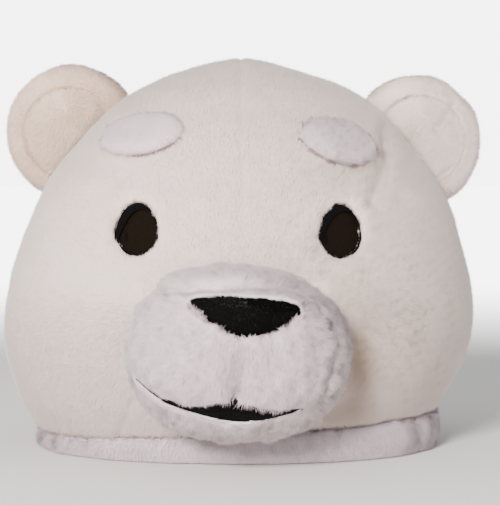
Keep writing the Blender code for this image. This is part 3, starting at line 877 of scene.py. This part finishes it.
black_backing = plush_backing("black plush backing", "080808", "040404")
black_pile = pile_fibre("black plush pile", "020202", "060606", "040404", "020202", sheen=0.0)
nose = padded_copy(("nose",), "nose_pad", 0.0013, black_backing)
smooth_some(nose, 3, lambda place: True)
dress(nose, 0.5, "black_plush", "nose")


def nose_front(middles, facing):
    return (facing[:, 1] < 0.15).astype(float)


def nose_lower_edge(middles, facing):
    return (facing[:, 1] < -0.15) * (facing[:, 2] < -0.30)


def comb_nose(roots):
    """Out from the upper edge's middle."""
    away = roots - np.array([nose_low.x + 0.040, nose_low.y, nose_high.z + 0.004])
    return unit(away)


for name, count, keep, seed, length, width, lean, disorder in (
    ("pile_nose", 16000, nose_front, 41, 0.0022, 0.0006, 0.95, 0.3),
    ("black_hairs_at_nose", 320, nose_lower_edge, 42, 0.0052, 0.0005, 1.0, 0.7),
):
    pile = grow_pile(
        name,
        nose,
        count,
        keep,
        comb_nose,
        seed,
        black_pile,
        length=length,
        width=width,
        lean=lean,
        disorder=disorder,
    )

# The ears: stuffed plush discs sewn in the side seams. A stitched circle draws in the front of each,
# and the right one has a dent near its outer edge. The left one is of warmer, beige plush.

EAR_CIRCLES = {"ear_left": (-0.1440, 0.2528, 0.0385), "ear_right": (0.1447, 0.2471, 0.0377)}
EAR_DENT = ((0.1709, 0.2741), (0.1578, 0.2569))
ear_plush = {
    "ear_left": (
        plush_backing("warm plush backing", "d6bfad", "c4ac99"),
        pile_fibre("warm plush pile", "c6ac97", "e8cfbd", "e0c6b3", "a08670"),
    ),
    "ear_right": (white_backing, white_pile),
}


def ear_folds(places, normals):
    x, y, z = places.T
    middle_x, middle_z, radius = EAR_CIRCLES["ear_left" if x[0] < 0 else "ear_right"]
    front = normals[:, 1] < -0.1
    ring = np.hypot(x - middle_x, z - middle_z) - radius
    moved = 0.0007 * np.exp(-((ring / 0.0016) ** 2)) - 0.0006 * np.exp(-(((ring + 0.0042) / 0.0026) ** 2))
    dent = line_distance(x, z, EAR_DENT)
    moved -= 0.0028 * np.exp(-((dent / 0.0042) ** 2))
    return moved * front + 0.0005 * ripple(places, 0.030, 51)


def ear_comb(roots):
    """Outward from the ear's middle, and down."""
    middle_x, middle_z, _ = EAR_CIRCLES["ear_left" if roots[0, 0] < 0 else "ear_right"]
    away = roots - np.array([middle_x, roots[:, 1].mean(), middle_z + 0.02])
    return unit(away)


def all_over(middles, facing):
    return np.ones(len(middles))


for name, (backing, fur) in ear_plush.items():
    ear = padded_copy((name,), name + "_pad", 0.003, backing)
    smooth_some(ear, 6, lambda place: True)
    puffed(ear, 2.0, 0.0012)
    refine(ear, lambda place: place.y < 0.05)
    push(ear, ear_folds)
    dress(ear, 0.7, "white_plush", name)
    pile = grow_pile(
        "pile_" + name,
        ear,
        32000,
        all_over,
        ear_comb,
        52,
        fur,
        length=0.0048,
        width=0.0008,
        clump=0.15,
    )

# The brows: oval plush pads sewn on above the eyes. The left one is smooth, and the right one is
# ruffled and tilts down towards the cheek.

brow_backing = plush_backing("brow plush backing", "d9cad0", "c9b9be")
brow_pile = pile_fibre("brow plush pile", "c6b4b8", "e9d8dc", "dfced2", "93838a")


def brow_front(middles, facing):
    return (facing[:, 1] < 0.25).astype(float)


def brow_comb(roots):
    """Up, and a little outward."""
    away = np.zeros_like(roots)
    away[:, 0] = np.sign(roots[:, 0]) * 0.4
    away[:, 2] = 1
    return away


for name, clump, length, seed in (("brow_left", 0.1, 0.0045, 61), ("brow_right", 0.45, 0.0062, 62)):
    brow = padded_copy((name,), name + "_pad", 0.0018, brow_backing)
    smooth_some(brow, 6, lambda place: True)
    puffed(brow, 2.0, 0.0010)
    push(brow, lambda places, normals: 0.0022 + 0.0004 * ripple(places, 0.018, seed))
    dress(brow, 0.6, "white_plush", name)
    pile = grow_pile(
        "pile_" + name,
        brow,
        16000,
        brow_front,
        brow_comb,
        seed,
        brow_pile,
        length=length,
        width=0.0007,
        clump=clump,
    )

# The eyes: a black felt rim lines each hole, and it widens at the upper left into a painted shadow, where the
# hole's wall shades the recessed screen from the light at the upper left. Behind it is a screen of dark brown
# mesh cloth that the wearer sees through. White hairs lean in over the rim.

MESH_PITCH = 0.0012
SLIT = (0.0016, 0.0045)


def mesh_cloth(name, thread, hole, slit_at):
    """Knitted polyester mesh, drawn twice as coarse as the real 0.6 mm, so that it shows."""
    material = new_material(name)
    place = add_node(material, "ShaderNodeTexCoord").outputs["Object"]
    rows = []
    for direction in ("X", "Z"):
        wave = add_node(
            material,
            "ShaderNodeTexWave",
            {"bands_direction": direction, "Scale": math.pi / 10 / MESH_PITCH, "Distortion": 0.6},
            {"Vector": place},
        )
        rows.append(wave.outputs["Fac"])
    crossed = add_node(material, "ShaderNodeMath", {"operation": "MAXIMUM"}, {0: rows[0], 1: rows[1]})
    woven = add_node(
        material,
        "ShaderNodeMix",
        {"data_type": "RGBA", MIX_FIRST: linear(hole), MIX_SECOND: linear(thread)},
        {MIX_FACTOR: crossed.outputs[0]},
    )
    centred = add_node(
        material,
        "ShaderNodeMapping",
        {"vector_type": "TEXTURE", "Location": (slit_at[0], 0, slit_at[1]), "Scale": (SLIT[0], 1, SLIT[1])},
        {"Vector": place},
    )
    reach = add_node(
        material,
        "ShaderNodeTexGradient",
        {"gradient_type": "SPHERICAL"},
        {"Vector": centred.outputs[0]},
    )
    inside = add_node(
        material,
        "ShaderNodeMapRange",
        {"From Min": 0.0, "From Max": 0.4},
        {"Value": reach.outputs["Fac"]},
    )
    dark = add_node(
        material,
        "ShaderNodeMix",
        {"data_type": "RGBA", MIX_SECOND: linear("050404")},
        {MIX_FACTOR: inside.outputs[0], MIX_FIRST: woven.outputs[MIX_COLOUR]},
    )
    bump = add_node(
        material,
        "ShaderNodeBump",
        {"Strength": 0.5, "Distance": 0.0004},
        {"Height": crossed.outputs[0]},
    )
    shader = add_node(
        material,
        "ShaderNodeBsdfPrincipled",
        {"Roughness": 0.8, "Specular IOR Level": 0.05},
        {"Base Color": dark.outputs[MIX_COLOUR], "Normal": bump.outputs[0]},
    )
    return finish_surface(material, shader)


for side, slit_from_middle, seed in (("left", -0.0085, 71), ("right", -0.0105, 72)):
    middle, half_width, half_height = EYES[side]
    brown_mesh = mesh_cloth(
        "dark brown mesh " + side,
        "130c07",
        "070402",
        (middle.x + slit_from_middle, middle.z - 0.0060),
    )
    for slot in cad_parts["eye_screen_" + side].material_slots:
        slot.material = brown_mesh

    def beside_eye(middles, facing):
        share = eye_share(middles, side)
        return (middles[:, 1] < 0) * (facing[:, 1] < -0.3) * (share > 1.0) * (share < 1.12)

    def comb_to_eye(roots):
        return unit(np.array(middle) - roots)

    eye_hairs = grow_pile(
        "white_hairs_at_eye_" + side,
        head,
        700,
        beside_eye,
        comb_to_eye,
        seed,
        white_pile,
        length=0.0032,
        width=0.0005,
        lean=0.9,
        clump=0.8,
        disorder=0.6,
    )

# The neck band: a tube of the same plush, a little greyer, gathered where it meets the head. It is
# lower on the left, and the mask stands on its flat lower edge.

BAND_GATHERS = 46


def band_folds(places, normals):
    """Uneven gathers, strongest at the top seam, fading to the lower edge."""
    x, y, z = places.T
    turn = np.arctan2(x - CROWN.x, y - CROWN.y)
    outside = normals[:, 0] * (x - CROWN.x) + normals[:, 1] * (y - CROWN.y) > 0
    waves = np.sin(BAND_GATHERS * turn + 1.6 * np.sin(5 * turn)) * (0.6 + 0.4 * np.sin(7 * turn + 1))
    rise = np.clip(z / 0.012, 0, 1)
    return (0.0005 * waves * rise + 0.0006 * ripple(places, 0.030, 81) * rise) * outside


def band_outside(middles, facing):
    outward = facing[:, 0] * (middles[:, 0] - CROWN.x) + facing[:, 1] * (middles[:, 1] - CROWN.y)
    return (outward > 0).astype(float)


band_backing = plush_backing("band plush backing", "dcd0d6", "ccbfc4")
band_pile = pile_fibre("band plush pile", "ccbdc2", "efe0e8", "e8d8df", "a3949a")
band = padded_copy(("neck_band",), "band_pad", 0.0030, band_backing)
smooth_some(band, 14, lambda place: place.z > 0.003)
push(band, band_folds)
dress(band, 0.6, "band_plush", "neck_band")
pile = grow_pile(
    "pile_band",
    band,
    52000,
    band_outside,
    comb_down,
    82,
    band_pile,
    length=0.0048,
    width=0.0009,
    clump=0.28,
)

# Light, floor and camera: a pale floor that brightens into a white studio backdrop, one soft window
# light low at the left, and a long lens that looks straight at the face from a little above its middle.

ROOM_LIGHT = 0.6
BACKDROP_GLOW = 6.0
GLOW_FROM = 0.7
GLOW_FULL = 2.4

pale_floor = new_material("pale floor")
around = add_node(pale_floor, "ShaderNodeTexCoord").outputs["Object"]
away = add_node(pale_floor, "ShaderNodeVectorMath", {"operation": "LENGTH"}, {0: around})
brighter = add_node(
    pale_floor,
    "ShaderNodeMapRange",
    {
        "interpolation_type": "SMOOTHSTEP",
        "From Min": GLOW_FROM,
        "From Max": GLOW_FULL,
        "To Max": BACKDROP_GLOW,
    },
    {"Value": away.outputs["Value"]},
)
finish_surface(
    pale_floor,
    add_node(
        pale_floor,
        "ShaderNodeBsdfPrincipled",
        {"Base Color": linear("f8f7f6"), "Roughness": 0.9, "Emission Color": (1, 1, 1, 1)},
        {"Emission Strength": brighter.outputs[0]},
    ),
)
bm = bmesh.new()
bmesh.ops.create_grid(bm, x_segments=1, y_segments=1, size=30)
floor_mesh = bpy.data.meshes.new("floor")
bm.to_mesh(floor_mesh)
bm.free()
floor = link_new("floor", floor_mesh, pale_floor)
floor.location.z = -0.0005

world = bpy.data.worlds.new("studio")
bpy.context.scene.world = world
world.use_nodes = True
backdrop = world.node_tree.nodes["Background"]
backdrop.inputs["Color"].default_value = (1, 1, 1, 1)
seen = add_node(world, "ShaderNodeLightPath").outputs["Is Camera Ray"]
glow = add_node(world, "ShaderNodeMapRange", {"To Min": ROOM_LIGHT, "To Max": BACKDROP_GLOW}, {"Value": seen})
world.node_tree.links.new(glow.outputs[0], backdrop.inputs["Strength"])

window = bpy.data.lights.new("window", "AREA")
window.size = 0.7
window.energy = 190
window.color = linear("fff8f2")[:3]
lamp = bpy.data.objects.new("window", window)
bpy.context.scene.collection.objects.link(lamp)
lamp.location = (-0.85, -2.65, 1.15)
lamp.rotation_euler = (Vector((0, 0, 0.15)) - lamp.location).to_track_quat("-Z", "Y").to_euler()

STAND_OFF = 1.5
HEIGHT_OF_AIM = 0.1548
LOOK_DOWN = math.radians(2.5)
FOCAL_PIXELS = 1829
PHOTO_HEIGHT = 505
AXIS_LEFT_OF_MIDDLE = 9
camera_data = bpy.data.cameras.new("camera")
camera_data.sensor_width = 36
camera_data.lens = FOCAL_PIXELS * camera_data.sensor_width / PHOTO_HEIGHT
camera_data.shift_x = AXIS_LEFT_OF_MIDDLE / PHOTO_HEIGHT
camera_data.clip_end = 50
camera = bpy.data.objects.new("camera", camera_data)
bpy.context.scene.collection.objects.link(camera)
camera.location = (
    CROWN.x,
    CROWN.y - STAND_OFF * math.cos(LOOK_DOWN),
    HEIGHT_OF_AIM + STAND_OFF * math.sin(LOOK_DOWN),
)
camera.rotation_euler = (math.pi / 2 - LOOK_DOWN, 0, 0)
bpy.context.scene.camera = camera
